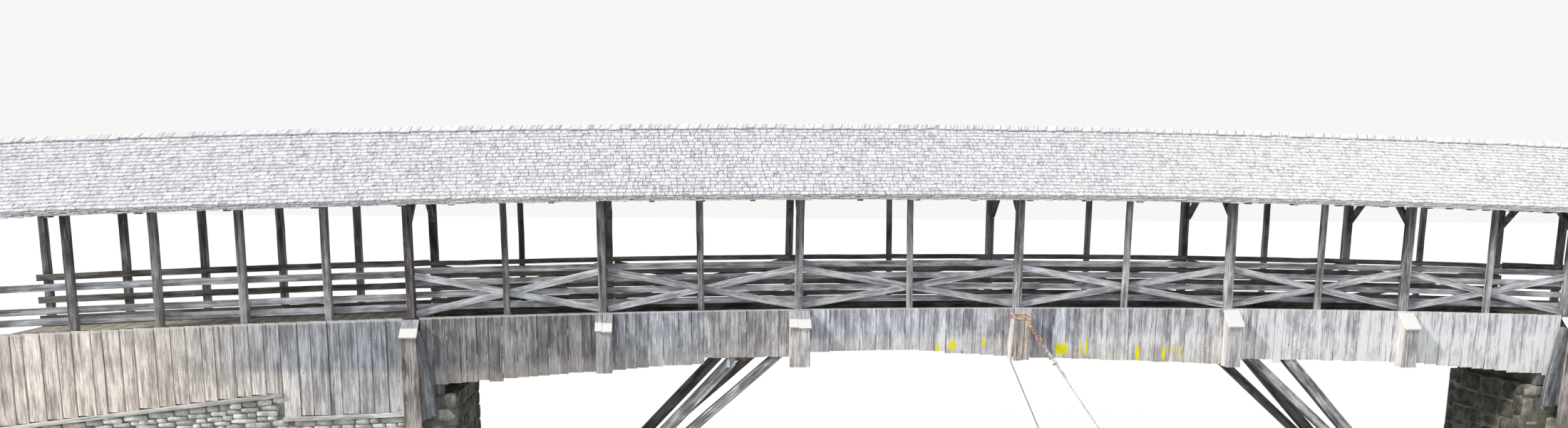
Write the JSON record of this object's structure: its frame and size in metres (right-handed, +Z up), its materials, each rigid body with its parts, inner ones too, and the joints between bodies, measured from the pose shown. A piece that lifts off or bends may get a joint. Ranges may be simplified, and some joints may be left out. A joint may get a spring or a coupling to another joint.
{
  "type": "covered timber footbridge",
  "caption": "Covered timber footbridge on a strut frame, with boarded skirts, cross-braced railings, a shingled gable roof and masonry piers.",
  "frame": {"origin": "on the ground under the middle frame, halfway between the two rows of posts", "axes": "+X along the bridge, +Y across it away from the pictured side, +Z up"},
  "size_m": [34.36, 6.72, 7.005],
  "materials": {
    "pier_stone": "rough weathered masonry",
    "rubble_stone": "rough rubble masonry",
    "footing_stone": "rough masonry",
    "shingles": "silver-grey weathered shingles",
    "skirt_boards": "weathered grey-brown boards",
    "casing_boards": "weathered grey-brown boards",
    "cap_boards": "sun-bleached boards",
    "dark_boards": "dark brown weathered boards",
    "floor_boards": "light tan planks",
    "sill_planks": "light weathered plank",
    "rail_boards": "weathered grey boards",
    "strut_timber": "dark weathered timber",
    "rusty_iron": "rusty",
    "wire_rope": "dull galvanised",
    "frame_timber": "weathered grey timber"
  },
  "bodies": {
    "root": {"left_pier": "pier_stone", "right_pier": "pier_stone", "left_approach_wall": "rubble_stone", "right_approach_wall": "rubble_stone", "left_strut_footing": "footing_stone", "right_strut_footing": "footing_stone", "approach_sills": "sill_planks", "pier_posts": "frame_timber", "front_long_beam": "frame_timber", "back_long_beam": "frame_timber", "cross_beams": "frame_timber", "straining_beams": "strut_timber", "strut_saddles": "strut_timber", "head_beams": "strut_timber", "left_outer_struts": "strut_timber", "left_inner_struts": "strut_timber", "right_outer_struts": "strut_timber", "right_inner_struts": "strut_timber", "floor": "floor_boards", "approach_floors": "floor_boards", "front_main_posts": "frame_timber", "back_main_posts": "frame_timber", "front_thin_posts": "frame_timber", "back_thin_posts": "frame_timber", "front_approach_posts": "frame_timber", "back_approach_posts": "frame_timber", "front_cross_braces": "frame_timber", "back_cross_braces": "frame_timber", "front_rail_boards": "rail_boards", "back_rail_boards": "rail_boards", "front_wall_plate": "frame_timber", "back_wall_plate": "frame_timber", "tie_beams": "frame_timber", "knee_braces": "frame_timber", "rafters": "frame_timber", "front_roof": "shingles", "back_roof": "shingles", "ridge_cap": "shingles", "front_skirt": "skirt_boards", "back_skirt": "skirt_boards", "approach_skirts": "skirt_boards", "beam_casings": "casing_boards", "casing_caps": "cap_boards", "pier_casings": "dark_boards", "stay_hoops": "rusty_iron", "stay_chains": "rusty_iron", "stay_shackles": "rusty_iron", "stay_ropes": "wire_rope", "stay_anchors": "footing_stone"}
  },
  "joints": []
}
